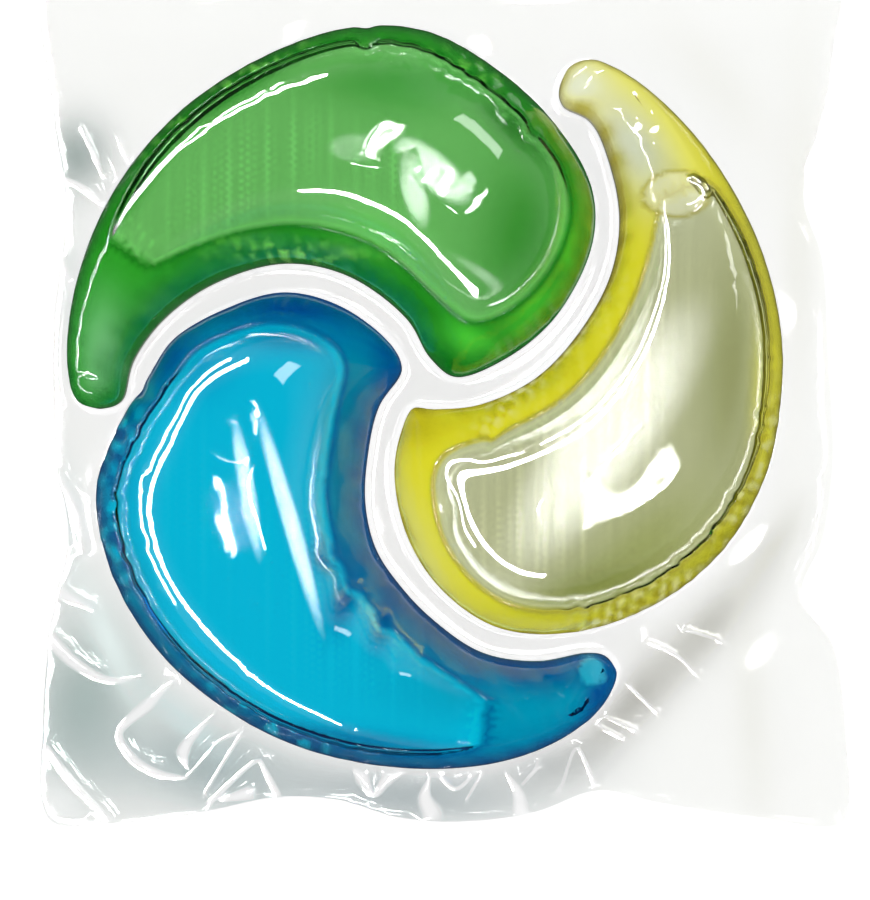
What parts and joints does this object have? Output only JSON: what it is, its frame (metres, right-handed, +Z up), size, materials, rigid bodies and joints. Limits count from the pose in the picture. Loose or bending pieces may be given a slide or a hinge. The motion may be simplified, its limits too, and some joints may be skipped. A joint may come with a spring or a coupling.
{
  "type": "laundry detergent capsule",
  "caption": "Square clear water-soluble film pouch with swirled comma-shaped domed chambers of green, blue and pale yellow liquid laundry detergent, each with an air bubble.",
  "frame": {"origin": "on the surface the capsule rests on, under the middle of its flange", "axes": "+Z up through the domes, square to the flange; +Y along the flange's longer side, towards the green chamber; +X towards the yellow chamber"},
  "size_m": [0.0524, 0.0548, 0.0158],
  "materials": {
    "formed_film": "clear soft water-soluble film, glossy over the domes and finely wrinkled on the flange",
    "lower_film": "clear soft water-soluble film, slightly cloudy",
    "green_liquid": "clear vivid green liquid",
    "blue_liquid": "clear vivid blue liquid",
    "yellow_liquid": "clear pale yellow liquid"
  },
  "bodies": {
    "root": {"formed_film": "formed_film", "lower_film": "lower_film", "green_liquid": "green_liquid", "blue_liquid": "blue_liquid", "yellow_liquid": "yellow_liquid"}
  },
  "joints": []
}
